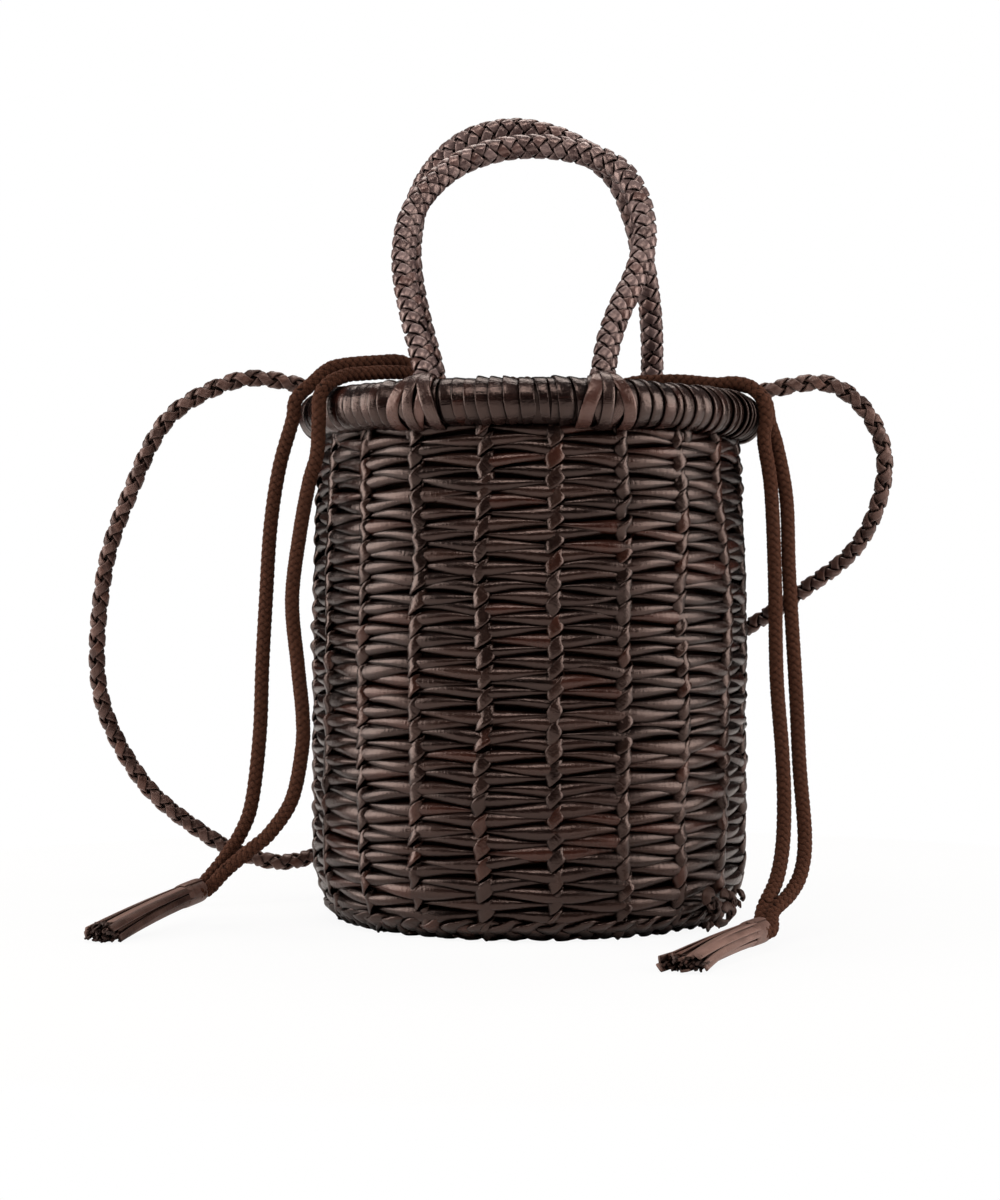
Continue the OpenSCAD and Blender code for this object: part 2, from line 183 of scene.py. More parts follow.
# -------- mesh building
class Bundle:
    """Strips swept along lines, gathered into one mesh."""

    def __init__(self):
        self.verts, self.quads, self.caps = [], [], []
        self.uvs, self.tones, self.edges = [], [], []
        self.count = 0

    def sweep(self, line, normal, width, thick, profile, closed=False, tone=None):
        """A strip of the given width and thickness; normal is its outer face's direction."""
        n, m = len(line), len(profile)
        if closed:
            tangent = unit(np.roll(line, -1, 0) - np.roll(line, 1, 0))
        else:
            tangent = unit(np.gradient(line, axis=0))
        normal = unit(normal - tangent * np.sum(normal * tangent, axis=1, keepdims=True))
        side = np.cross(tangent, normal)
        width = np.broadcast_to(width, n)[:, None, None]
        thick = np.broadcast_to(thick, n)[:, None, None]
        verts = (line[:, None] + side[:, None] * width * profile[None, :, :1]
                 + normal[:, None] * thick * profile[None, :, 1:])
        index = self.count + np.arange(n * m).reshape(n, m)
        rows = index if not closed else np.vstack([index, index[:1]])
        nxt = np.roll(rows, -1, axis=1)
        quads = np.stack([rows[:-1], rows[1:], nxt[1:], nxt[:-1]], axis=-1).reshape(-1, 4)
        along = lengths_along(np.vstack([line, line[:1]]) if closed else line)
        offset = rng.uniform(0, 500, 2)
        across = np.arange(m + 1) / m
        a0, a1 = along[:-1, None], along[1:, None]
        c0, c1 = across[None, :-1], across[None, 1:]
        girth = 2 * float(np.mean(width)) + 2 * float(np.mean(thick))
        uv = np.stack([np.broadcast_arrays(a0, c0), np.broadcast_arrays(a1, c0),
                       np.broadcast_arrays(a1, c1), np.broadcast_arrays(a0, c1)])
        uv = uv.transpose(2, 3, 0, 1).reshape(-1, 2) * [1, girth] + offset
        if not closed:
            self.caps += [index[0].tolist(), index[-1, ::-1].tolist()]
        self.verts.append(verts.reshape(-1, 3))
        self.quads.append(quads)
        self.uvs.append(uv)
        tone = rng.uniform() if tone is None else tone
        self.tones.append(np.broadcast_to(np.asarray(tone, float).reshape(-1, 1), (n, m)).reshape(-1))
        self.edges.append(np.broadcast_to(np.abs(2 * profile[:, 0])[None], (n, m)).reshape(-1))
        self.count += n * m

    def grid(self, points):
        """A sheet through a grid of points (rows, columns, 3), its last row joined to its first."""
        n, m = points.shape[:2]
        index = self.count + np.arange(n * m).reshape(n, m)
        rows = np.vstack([index, index[:1]])
        corners = [rows[:-1, :-1], rows[1:, :-1], rows[1:, 1:], rows[:-1, 1:]]
        quads = np.stack(corners, axis=-1).reshape(-1, 4)
        self.verts.append(points.reshape(-1, 3))
        self.quads.append(quads)
        flat = points.reshape(-1, 3)[quads.reshape(-1) - self.count]
        turn = np.arctan2(flat[:, 0], -flat[:, 1])
        self.uvs.append(np.column_stack([turn * WALL_R, flat[:, 2] + np.hypot(flat[:, 0], flat[:, 1])]))
        self.tones.append(np.full(n * m, 0.5))
        self.edges.append(np.zeros(n * m))
        self.count += n * m

    def build(self, name, material, slot):
        """Makes the object, in metres, with smooth sides and flat caps."""
        verts = np.vstack(self.verts) * MM
        quads = np.vstack(self.quads)
        caps = self.caps
        cap_loops = np.array([i for c in caps for i in c], int)
        loops = np.concatenate([quads.reshape(-1), cap_loops])
        sizes = np.concatenate([np.full(len(quads), 4), np.array([len(c) for c in caps], int)])
        starts = np.concatenate([[0], np.cumsum(sizes)[:-1]])
        rounded = np.arange(len(sizes)) < len(quads)
        faces = {"loop_start": starts, "loop_total": sizes, "use_smooth": rounded}
        mesh = bpy.data.meshes.new(name)
        for part, count, values in ((mesh.vertices, len(verts), {"co": verts.reshape(-1)}),
                                    (mesh.loops, len(loops), {"vertex_index": loops}),
                                    (mesh.polygons, len(sizes), faces)):
            part.add(count)
            for key, value in values.items():
                part.foreach_set(key, value)
        uv = np.vstack(self.uvs + [np.zeros((len(cap_loops), 2))])
        mesh.uv_layers.new(name="strip").data.foreach_set("uv", uv.reshape(-1))
        for label, values in (("tone", self.tones), ("edge", self.edges)):
            mesh.attributes.new(label, "FLOAT", "POINT").data.foreach_set("value", np.concatenate(values))
        mesh.update(calc_edges=True)
        mesh.validate()
        obj = bpy.data.objects.new(name, mesh)
        bpy.context.scene.collection.objects.link(obj)
        mesh.materials.append(material)
        return obj

    def fix(self, name, material, slot, body, node=None):
        """Makes the object, fixes it to a body and hides the CAD node it stands for, if there is one."""
        piece = self.build(name, material, slot)
        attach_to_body(piece, body)
        if node:
            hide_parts(node)


# -------- materials
def linear(rgb):
    """sRGB 0-255 to linear colour."""
    return [((c / 255 + 0.055) / 1.055) ** 2.4 if c > 10 else c / 255 / 12.92 for c in rgb] + [1]


class Nodes:
    """A short way to write the node tree of its owner, a material or a world."""

    def __init__(self, owner):
        owner.use_nodes = True
        self.owner = owner
        self.tree = owner.node_tree
        self.shader = self.tree.nodes.get("Principled BSDF")

    def add(self, kind, inputs=None, **settings):
        node = self.tree.nodes.new(kind)
        for key, value in settings.items():
            setattr(node, key, value)
        for key, value in (inputs or {}).items():
            self.set(node.inputs[key], value)
        return node

    def set(self, socket, value):
        if isinstance(value, bpy.types.NodeSocket):
            self.tree.links.new(value, socket)
        else:
            socket.default_value = value

    def surface(self, name, value):
        self.set(self.shader.inputs[name], value)

    def maths(self, operation, a, b=0.0):
        return self.add("ShaderNodeMath", {0: a, 1: b}, operation=operation).outputs[0]

    def times(self, a, b):
        return self.maths("MULTIPLY", a, b)

    def weighted(self, *parts):
        """The sum of (value, weight) pairs."""
        total = None
        for value, weight in parts:
            part = self.times(value, weight)
            total = part if total is None else self.maths("ADD", total, part)
        return total

    def mix(self, factor, a, b):
        node = self.add("ShaderNodeMix", data_type="RGBA")
        self.set(node.inputs["Factor"], factor)
        self.set(node.inputs["A"], a)
        self.set(node.inputs["B"], b)
        return node.outputs["Result"]

    def ramp(self, factor, *stops):
        node = self.add("ShaderNodeValToRGB", {"Fac": factor})
        ramp = node.color_ramp
        while len(ramp.elements) < len(stops):
            ramp.elements.new(0.5)
        for element, (place, colour) in zip(ramp.elements, stops):
            element.position = place
            element.color = colour
        return node.outputs["Color"]

    def noise(self, vector, scale, detail, roughness=0.5):
        return self.add("ShaderNodeTexNoise", {"Vector": vector, "Scale": scale, "Detail": detail,
                                               "Roughness": roughness}).outputs["Fac"]

    def stretched(self, vector, scale):
        return self.add("ShaderNodeMapping", {"Vector": vector, "Scale": scale}).outputs["Vector"]


def openness(n, reach):
    """1 where a surface is open and towards 0 in a crevice narrower than reach, in mm; the materials use it
    to paint shade into crevices.
    """
    return n.add("ShaderNodeAmbientOcclusion", {"Distance": reach * MM}, samples=4).outputs["AO"]


def relief(n, height, depth):
    """Bumps the surface by a height pattern; depth is in mm."""
    node = n.add("ShaderNodeBump", {"Strength": 0.6, "Distance": depth * MM, "Height": height})
    n.surface("Normal", node.outputs["Normal"])


def leather(name, dark, mid, light, red, roughness=0.4, crevice=3.5, gloss=0.6):
    """Waxed leather strips: tone per strip, drawn-out streaks, fine grain, worn faces and shade painted into
    the crevices.
    """
    n = Nodes(bpy.data.materials.new(name))
    uv = n.add("ShaderNodeUVMap", uv_map="strip").outputs["UV"]
    place = n.add("ShaderNodeTexCoord").outputs["Object"]
    tone = n.add("ShaderNodeAttribute", attribute_name="tone").outputs["Fac"]
    edge = n.add("ShaderNodeAttribute", attribute_name="edge").outputs["Fac"]
    streak = n.noise(n.stretched(uv, (0.09, 1.1, 1)), 1.0, 4, 0.6)
    blotch = n.noise(place, 95, 3, 0.55)
    mottle = n.noise(place, 420, 3, 0.6)
    mixed = n.weighted((tone, 0.36), (streak, 0.34), (blotch, 0.30))
    colour = n.ramp(mixed, (0.26, linear(dark)), (0.47, linear(mid)), (0.72, linear(light)))
    # about one strip in seven is redder, in patches
    reddish = n.maths("GREATER_THAN", n.maths("FRACT", n.times(tone, 17.3)), 0.86)
    colour = n.mix(n.times(n.times(reddish, 0.8), blotch), colour, linear(red))
    worn = n.times(n.maths("POWER", edge, 6.0), n.times(mottle, 0.3))
    colour = n.mix(worn, colour, linear([min(255, c * 1.25) for c in light]))
    # painted shade: in crevices narrower than crevice mm the colour darkens towards a third of the darkest
    # tone, and the same shade dims the reflections there
    shade = n.maths("POWER", openness(n, crevice), 2.0)
    n.surface("Base Color", n.mix(shade, linear([c * 0.3 for c in dark]), colour))
    uneven = n.times(n.maths("ADD", streak, mottle), 0.18)
    n.surface("Roughness", n.maths("ADD", roughness - 0.16, uneven))
    n.surface("Specular IOR Level", n.times(shade, gloss))
    n.surface("Specular Tint", linear(REFLECTION_TINT))
    cells = n.add("ShaderNodeTexVoronoi", {"Vector": place, "Scale": 1100}, feature="DISTANCE_TO_EDGE")
    grain = n.times(n.maths("MINIMUM", cells.outputs["Distance"], 0.25), 1.4)
    wrinkle = n.noise(n.stretched(uv, (0.9, 0.35, 1)), 1.0, 3, 0.6)
    pores = n.noise(place, 700, 3, 0.6)
    relief(n, n.weighted((grain, 0.12), (streak, 0.3), (wrinkle, 0.45), (pores, 0.35)), 0.7)
    return n.owner


def cloth(name, dark, light, thread):
    """Plain woven or spun textile: crossed threads with fuzz, and shade painted into its crevices."""
    n = Nodes(bpy.data.materials.new(name))
    uv = n.add("ShaderNodeUVMap", uv_map="strip").outputs["UV"]
    place = n.add("ShaderNodeTexCoord").outputs["Object"]
    waves = [n.add("ShaderNodeTexWave", {"Vector": uv, "Scale": thread, "Distortion": 1.2, "Detail": 2.0},
                   wave_type="BANDS", bands_direction=axis).outputs["Fac"] for axis in ("X", "Y")]
    fibres = n.noise(place, 1400, 4, 0.7)
    weave = n.times(n.maths("ADD", waves[0], waves[1]), 0.5)
    tone = n.weighted((fibres, 0.6), (weave, 0.4))
    colour = n.ramp(tone, (0.3, linear(dark)), (0.7, linear(light)))
    # painted shade: in crevices narrower than 2.5 mm the colour darkens towards under half the darkest tone
    n.surface("Base Color", n.mix(openness(n, 2.5), linear([c * 0.45 for c in dark]), colour))
    n.surface("Roughness", 0.9)
    n.surface("Specular IOR Level", 0.15)
    n.surface("Sheen Weight", 0.08)
    n.surface("Sheen Roughness", 0.6)
    n.surface("Sheen Tint", linear([min(255, c * 1.9) for c in light]))
    relief(n, tone, 0.5)
    return n.owner


REFLECTION_TINT = (240, 208, 198)
# colours are sRGB: the darkest, the usual and the palest tone of a strip, then that of the redder strips
# crevice is how far, in mm, the shade painted into each material's crevices reaches
WEAVE = leather("leather_weave", (11, 5, 4), (28, 15, 12), (47, 30, 25), (68, 30, 20),
                roughness=0.2, crevice=5, gloss=0.8)
BRAID = leather("leather_braid", (26, 16, 15), (84, 67, 66), (142, 122, 120), (100, 66, 58),
                roughness=0.2, crevice=6, gloss=1.3)
STRAP = leather("leather_strap", (38, 24, 21), (92, 69, 63), (130, 105, 98), (106, 70, 58),
                roughness=0.32, crevice=3)
TWINE = leather("leather_twine", (11, 5, 4), (28, 16, 13), (47, 31, 26), (70, 34, 23),
                roughness=0.2, crevice=4.5, gloss=0.8)
RIM = leather("leather_rim", (9, 4, 4), (21, 12, 11), (42, 28, 25), (56, 27, 20),
              roughness=0.15, crevice=4, gloss=0.8)
LASHING = leather("leather_lashing", (18, 10, 9), (48, 33, 30), (80, 60, 56), (80, 46, 37),
                  roughness=0.2, crevice=4, gloss=1.1)
RAW = leather("leather_raw", (18, 10, 9), (38, 24, 21), (62, 43, 37), (70, 38, 28), roughness=0.5)
TASSEL = leather("leather_tassel", (46, 30, 26), (96, 72, 65), (142, 113, 104), (120, 78, 64), crevice=2.4)
CORD = cloth("cord_textile", (40, 22, 15), (98, 61, 45), thread=0.55)
LINING = cloth("lining_cotton", (34, 23, 19), (64, 46, 38), thread=0.9)


# -------- woven wall
FOOT_HEIGHT = 24
FOOT_INSET = 7.5
BULGE_FROM = 22
WIDEST_AT = 0.45


def wall_at(z):
    """Outer radius of the wall at height z, as the CAD wall: a curved foot and a shallow bulge."""
    foot = np.maximum(0, 1 - (z - WALL_BOTTOM) / FOOT_HEIGHT)
    rise = (z - BULGE_FROM) / (WALL_TOP - BULGE_FROM)
    return (WALL_R - FOOT_INSET * foot ** 2 - 2 * np.maximum(0, WIDEST_AT - rise) ** 2
            - 3 * np.maximum(0, rise - WIDEST_AT) ** 2 / 0.3)


COLUMN_WAVES = rng.normal(size=(COLUMNS, 3, 2))


def column_turn(column, z):
    """Turn of a column at height z: each wanders a little as it climbs."""
    c = COLUMN_WAVES[column % COLUMNS]
    t = (z - WALL_BOTTOM) / (WALL_TOP - WALL_BOTTOM) * TAU
    drift = sum(c[k, 0] * np.sin((0.6 + 0.9 * k) * t + 3 * c[k, 1]) for k in range(3))
    return FIRST_COLUMN_TURN + column * TAU / COLUMNS + 0.011 * drift


def course_knots(k):
    """Turn, height, depth and width of course k at each column, where it is bound to one of its neighbours.

    The upper strip of a bound pair spreads; the lower one tucks in behind it.
    """
    knots = []
    for c in range(COLUMNS):
        upper = (k + c) % 2 == 1
        pair_z = WALL_BOTTOM + COURSE_H * (k if upper else k + 1)
        rise, depth, width = (2.05, 0.6, 6.3) if upper else (-1.85, -1.3, 2.6)
        z = pair_z + rise + rng.normal() * 0.45
        knots.append([column_turn(c, z), z, depth + rng.normal() * 0.2, width * (1 + rng.normal() * 0.1)])
    return np.array(knots)


def course_strip(k, steps=14):
    """Line, face directions, widths and tones of course k, eased from knot to knot."""
    f = np.arange(steps) / steps
    ease = 0.5 * f + 0.5 * smooth(f)
    swell = np.sin(np.pi * f)
    knots = course_knots(k)
    following = np.roll(knots, -1, axis=0)
    following[-1, 0] += TAU
    course_tone = rng.uniform(0.1, 0.9)
    spans = []
    for a, b in zip(knots, following):
        turn = a[0] + (b[0] - a[0]) * f
        height = a[1] + (b[1] - a[1]) * ease + (0.5 + rng.normal() * 0.55) * swell
        depth = a[2] + (b[2] - a[2]) * ease + (0.75 + rng.normal() * 0.35) * swell
        # the extra width sits nearer the wider end
        blunt = np.sin(np.pi * (f ** 0.7 if a[3] > b[3] else 1 - (1 - f) ** 0.7))
        width = a[3] + (b[3] - a[3]) * ease + (0.7 + rng.normal() * 0.35) * blunt
        lean = (0.22 + rng.normal() * 0.2) * (0.4 + 0.6 * swell)
        tone = np.full(steps, np.clip(course_tone + rng.normal() * 0.3, 0, 1))
        spans.append(np.column_stack([turn, height, depth, width, lean, tone]))
    turn, height, depth, width, lean, tone = np.concatenate(spans).T
    line = around(turn, wall_at(height) - 1.7 + depth, height)
    normal = outward(turn) * np.cos(lean)[:, None] + UP * np.sin(lean)[:, None]
    return line, normal, width, tone


def build_weft():
    """The leather courses, in four pieces from the foot up."""
    quarters = [Bundle() for _ in range(4)]
    for k in range(COURSES):
        line, normal, width, tone = course_strip(k)
        quarters[k * 4 // COURSES].sweep(line, normal, width, 2.0, STRIP, closed=True, tone=tone)
    for i, bundle in enumerate(quarters):
        bundle.fix(f"wall_courses_{i + 1}", WEAVE, "leather_weave", "bag", "wall_weft")


def add_twined_column(bundle, c, steps=14):
    """The two strands of column c; steps is the number of points to a bound pair."""
    pairs = COURSES // 2 + 1
    bound = WALL_BOTTOM + COURSE_H - (0 if c % 2 == 0 else COURSE_H)
    z = bound + (np.arange(pairs * steps) / steps - 0.3) * PAIR_H
    z = z[z < WALL_TOP + 1.5]
    half_turns = 2 * pairs + 6
    loops = rng.normal(size=(5, half_turns))

    def varied(k, phase):
        return np.interp(phase / np.pi, np.arange(half_turns) - 2, loops[k])

    for strand in (0, 1):
        phase = np.pi * (z - bound) / PAIR_H + strand * np.pi
        phase = phase + 0.2 * varied(0, phase)
        front = np.maximum(0, np.cos(phase)) ** 0.45
        sway = (2.5 + 0.5 * varied(1, phase)) * np.sin(phase) / WALL_R
        depth = (1.7 + 0.2 * varied(2, phase)) * np.cos(phase) + 0.6 * front
        turn = column_turn(c, z) + sway
        line = around(turn, wall_at(z) - 1.4 + depth, z)
        twist = np.arctan2(0.6 * np.sin(phase), np.cos(phase)) + 0.35 * varied(3, phase) * front
        normal = outward(turn) * np.cos(twist)[:, None] + sideward(turn) * np.sin(twist)[:, None]
        width = 3.6 + (2.7 + 0.8 * varied(4, phase)) * front
        segment = np.floor(phase / np.pi + 0.5).astype(int)
        tones = rng.uniform(0.1, 1.0, 80)
        bundle.sweep(line, normal, width, 1.3, FOLD, tone=tones[segment % len(tones)])


def build_twining():
    """Two flat strands per column, turning half round each other at every bound pair."""
    for half in (0, 1):
        bundle = Bundle()
        for c in range(half * COLUMNS // 2, (half + 1) * COLUMNS // 2):
            add_twined_column(bundle, c)
        bundle.fix(f"twined_columns_{half + 1}", TWINE, "leather_braid", "bag", "wall_twining")


def build_border():
    """Three-strand plait round the foot of the wall."""
    low, high = node_box("base_border")
    radius = high[0] - (high[2] - low[2]) / 2
    plait = 36
    slope = math.radians(38)
    count = plait * 18
    turn = np.arange(count) / count * TAU
    bundle = Bundle()
    for strand in range(3):
        phase = turn * plait / 2 + strand * TAU / 3
        out = 3.3 * np.sin(phase) + wobble(count, 0.5, (17, 37, 61))
        lift = 1.1 * np.sin(2 * phase) + wobble(count, 0.3, (23, 41, 67))
        # the plait stands on edge: out runs up the wall's foot, lift runs away from it
        r = radius + 1.2 + out * math.cos(slope) + lift * math.sin(slope)
        z = 4.6 + out * math.sin(slope) - lift * math.cos(slope)
        line = around(turn, r, z)
        normal = outward(turn) * math.sin(slope) - UP * math.cos(slope)
        tones = rng.uniform(0.1, 0.9, plait)[np.floor(phase / TAU).astype(int) % plait]
        width = 6.4 + wobble(count, 0.6, (31, 53, 71))
        bundle.sweep(line, normal, width, 1.4, FOLD, closed=True, tone=tones)
    bundle.fix("foot_plait", WEAVE, "leather_weave", "bag", "base_border")


def build_base():
    """Flat strips woven over and under each other, cut to the base's circle."""
    _, high = node_box("base_weave")
    radius = high[0] + 1.5
    strip = 9.0
    pitch = 9.8
    count = int(radius // pitch)
    bundle = Bundle()
    for direction in (0, 1):
        for i in range(-count, count + 1):
            across = i * pitch
            reach = math.sqrt(max(0.0, radius ** 2 - across ** 2))
            if reach < 6:
                continue
            s = np.linspace(-reach, reach, int(2 * reach / 1.6))
            over = np.cos(np.pi * s / pitch) * (1 if (i + direction) % 2 else -1)
            z = 1.75 + 0.85 * over
            line = np.column_stack([s, across + 0 * s, z] if direction == 0 else [across + 0 * s, s, z])
            bundle.sweep(line, np.tile(-UP, (len(s), 1)), strip, 1.3, FLAT)
    bundle.fix("base_basketwork", WEAVE, "leather_weave", "bag", "base_weave")


# -------- rim
def rim_point(turn, tube_angle, radius):
    """A point on a tube of the given radius round the rim circle; tube_angle 0 is outward, 90 degrees up."""
    sag = 0.8 * np.sin(turn - 0.6) - 0.4 * np.sin(3 * turn + 1.0)
    r = RIM_R + radius * np.cos(tube_angle)
    return around(turn, r, RIM_Z + 0.5 - 0.8 * sag + radius * np.sin(tube_angle))


def rim_normal(turn, tube_angle):
    """Directions straight out of the rim's tube."""
    return around(turn, np.cos(tube_angle), np.sin(tube_angle))


def build_rim():
    """One lace wound round and round the rim, each turn lapping a little over the last."""
    wraps = 112
    per = 30
    count = wraps * per
    i = np.arange(count)
    knots = rng.normal(size=(wraps * 2, 3))

    def varied(k, size):
        return size * np.interp(i / per * 2, np.arange(wraps * 2), knots[:, k], period=wraps * 2)

    tube_angle = -TAU * i / per
    turn = (i / per) * TAU / wraps + varied(0, 0.008)
    radius = TUBE_R - 1.3 + varied(1, 0.28)
    line = rim_point(turn, tube_angle, radius)
    normal = rim_normal(turn, tube_angle) + sideward(turn) * (0.16 + varied(2, 0.12))[:, None]
    tones = rng.uniform(0.2, 0.95, wraps)[(i // per) % wraps]
    bundle = Bundle()
    bundle.sweep(line, normal, 6.7 + varied(2, 0.9), 1.3, FLAT, closed=True, tone=tones)
    bundle.fix("rim_lacing", RIM, "leather_braid", "bag", "rim_wrap")


def build_rim_tucks():
    """Lacing tails that tuck from the rim into the top courses, one at each column."""
    bundle = Bundle()
    for c in range(COLUMNS):
        turn = column_turn(c, WALL_TOP) + rng.normal() * 0.015
        drop = np.linspace(0, 1, 9)
        z = WALL_TOP + 5 - (13 + rng.uniform(-2, 3)) * drop
        tuck = 2.6 * smooth((drop - 0.55) / 0.45)
        r = wall_at(np.minimum(z, WALL_TOP)) + 1.6 - tuck - 3.0 * (1 - drop) ** 2
        line = around(turn + rng.normal() * 0.03 * drop, r, z)
        bundle.sweep(line, outward(np.full(len(drop), turn)), 5.6 * (1 - 0.15 * drop), 1.2, FOLD)
    bundle.fix("rim_tucks", RIM, "leather_edge", "bag")


def rim_loops(name, turns, node, material, spread=0.055, splay=()):
    """Crossed lacing round the rim where something is fastened to it.

    splay lists, for each broad strand that leaves the handle over the rim's outer face, how far it leans and
    its width.
    """
    bundle = Bundle()
    t = np.linspace(0, 1, 26)
    for turn_0 in turns:
        for i, (lean, width) in enumerate(splay):
            a = np.radians(112 - 200 * t)
            turn = turn_0 + lean * (0.015 + 0.085 * smooth(1.25 * t))
            line = rim_point(turn, a, TUBE_R + 0.3 + 0.35 * i + 1.2 * (1 - t) ** 3)
            bundle.sweep(line, rim_normal(turn, a), width * (0.8 + 0.2 * smooth(3 * t)), 1.35, FLAT)
        for lean, lift in ((-1.0, 0.3), (1.0, 0.75)):
            count = 36
            a = np.arange(count) / count * TAU
            turn = turn_0 + lean * spread * np.cos(a - 0.5) + 0.01 * rng.normal()
            line = rim_point(turn, a, TUBE_R - 0.5 + lift)
            bundle.sweep(line, rim_normal(turn, a), 5.6, 1.3, FLAT, closed=True)
    bundle.fix(name, material, "leather_braid", "bag", node)


# -------- braids and cords
def braid_strands(line, across_a, across_b, strands, period, radius, lift):
    """Lines and normals of a round braid: half the strands turn each way, passing over and under in turn."""
    s = lengths_along(line)
    half = strands // 2
    out = []
    for j in range(strands):
        way = 1 if j < half else -1
        phase = way * TAU * s / period + (j % half) * TAU / half
        over = way * np.clip(1.6 * np.cos(half * phase), -1, 1)
        rho = radius + lift * over
        radial = across_a * np.cos(phase)[:, None] + across_b * np.sin(phase)[:, None]
        out.append((line + radial * rho[:, None], radial))
    return out


def build_braid(name, line, first, pieces, material, slot, replaced, period, radius, size, strands=4,
                lift=0.95, profile=FLAT, tone=(0.3, 0.9)):
    """Sweeps the strands and cuts them into pieces by distance along the line.

    pieces lists (suffix, from, to, how to attach); distances are in mm, from the line's end where negative.
    """
    a, b = carried_frames(line, first)
    s = lengths_along(line)
    total = s[-1]
    paths = braid_strands(line, a, b, strands, period, radius, lift)
    tones = rng.uniform(*tone, (strands, 400))
    for suffix, low, high, attach in pieces:
        low = total + low if low < 0 else low
        high = total + high if high <= 0 else high
        keep = np.flatnonzero((s >= low - 1e-6) & (s <= high + 1e-6))
        lo, hi = keep[0], keep[-1] + 1
        bundle = Bundle()
        for j, (path, radial) in enumerate(paths):
            index = np.floor(s[lo:hi] / period * 2 + 0.5 * j).astype(int) % tones.shape[1]
            bundle.sweep(path[lo:hi], radial[lo:hi], size[0], size[1], profile, tone=tones[j][index])
        piece = bundle.build(f"{name}{suffix}", material, slot)
        attach(piece)
        # a cord's length from the neck to the rim is a CAD node of its own
        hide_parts(replaced.replace("tails", "rim_run") if suffix == "_neck" else replaced)


def on(body):
    """A way to attach a piece: it rides the body."""
    return lambda piece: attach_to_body(piece, body)


def between(start, end):
    """A way to attach a piece: its placement is baked into its mesh and it rides no body; start and end are
    not used.
    """
    start, end = (tuple(np.asarray(point) * MM) for point in (start, end))
    return lambda piece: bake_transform(piece)


# the handles' arches, seen square on: sideways, and up from the fold's pivot
FRONT_PATH = [(-38.4, 16.1), (-41.2, 28), (-45.6, 45), (-50.2, 66), (-51.8, 84), (-49.8, 102), (-42.6, 118),
              (-30.5, 131.2), (-14, 139), (2, 141), (17, 139), (31, 133.6), (42.2, 124.5), (49, 109.5),
              (51.7, 94), (51.2, 80), (47.6, 65), (41.8, 49), (37.6, 33), (35.4, 16.1)]
REAR_PATH = [(-48, 16.8), (-50.5, 35), (-55, 58), (-57.8, 80), (-57.2, 98), (-52, 118.5), (-41.5, 134),
             (-27, 144.5), (-8, 148.3), (10, 144.8), (25, 137), (38, 125), (45.8, 106), (50, 84), (52.8, 62),
             (53.6, 40), (53, 16.8)]
# how far each arch leans towards the bag's axis, in degrees
FRONT_LEAN = 31.5
REAR_LEAN = 27.7


def handle_line(path, slant, pivot, end):
    """A handle's arch, leaning towards the bag's axis, its legs carried on into the rim's lacing."""
    flat = spline(path, 12)
    first, last = unit(flat[0] - flat[1]), unit(flat[-1] - flat[-2])
    down = np.arange(1, 10)[:, None]
    flat = np.vstack([(flat[0] + first * down)[::-1], flat, flat[-1] + last * down])
    return np.column_stack([flat[:, 0], pivot[1] - end * flat[:, 1] * math.sin(slant),
                            pivot[2] + flat[:, 1] * math.cos(slant)])


def build_handle(side, path, lean, end):
    """One plaited handle; end is -1 at the front of the bag and 1 at the rear."""
    pivot = joint_pivot(f"{side}_handle_fold")
    body = f"{side}_handle"
    slant = math.radians(lean)
    line = even(handle_line(path, slant, pivot, end), 0.62)
    first = np.array([0, math.cos(slant), end * math.sin(slant)])
    up = np.array([0, -end * math.sin(slant), math.cos(slant)])
    root = between(pivot + 8 * up, pivot + 34 * up)
    build_braid(f"{side}_handle_plait", line, first,
                [("_left_root", 0, 32, root), ("", 32, -32, on(body)), ("_right_root", -32, 0, root)],
                BRAID, "leather_braid", f"{side}_handle_braid", strands=6, period=20, radius=3.8,
                size=(4.3, 1.2))


# left anchor, down the left side, behind the bag, up to the right anchor
STRAP_POINTS = [
    (-RIM_R - 10.5, 0, RIM_Z + 13), (-RIM_R - 15, 0, RIM_Z + 17), (-132, -2, RIM_Z + 18.5),
    (-163, -2, RIM_Z + 2), (-181.5, 0, RIM_Z - 32), (-194.5, 4, 152), (-198.5, 12, 100), (-182, 22, 59),
    (-156, 33, 33.5), (-133, 43, 20.5), (-111, 56, 18.5), (-72, 92, 33), (-7, 106, 70), (52, 102, 102),
    (97, 79, 127), (123, 54, 145), (145, 34, 163), (155.5, 18, 184), (157.5, 8, 206), (148.5, 2, RIM_Z + 4),
    (131, 0, RIM_Z + 15.5), (RIM_R + 14, 0, RIM_Z + 12.5), (RIM_R + 10, 0, RIM_Z + 9.5)]


def build_strap():
    """The plaited shoulder strap, bending near its two anchors."""
    line = even(spline(STRAP_POINTS, 24), 0.75)
    left, right = (between((side * (RIM_R + 9), 0, RIM_Z), (side * (RIM_R + 38), 0, RIM_Z))
                   for side in (-1, 1))
    build_braid("shoulder_strap_plait", line, (0, 1, 0),
                [("_left_root", 0, 40, left), ("", 40, -40, on("strap")), ("_right_root", -40, 0, right)],
                STRAP, "leather_braid", "shoulder_strap_braid", period=19, radius=2.35, lift=0.7,
                size=(4.1, 1.3), tone=(0.0, 0.6))


# -------- drawcords
NECK_LOW, NECK_HIGH = node_box("liner_neck_hem")
NECK_R = (NECK_HIGH[0] - NECK_LOW[0]) / 2 - 4.5
NECK_Z = (NECK_HIGH[2] + NECK_LOW[2]) / 2
# the way each side's cords leave the bag, in degrees, and how far above the channel's middle they run in it
CORD_TURN = {"left": 203, "right": -9}
CORD_LIFT = {"left": 0.78, "right": -0.78}


def beside(turn_deg, r, t, z):
    """A point at distance r from the axis, t sideways of that radius, at height z."""
    a = math.radians(turn_deg)
    return (r * math.cos(a) - t * math.sin(a), r * math.sin(a) + t * math.cos(a), z)


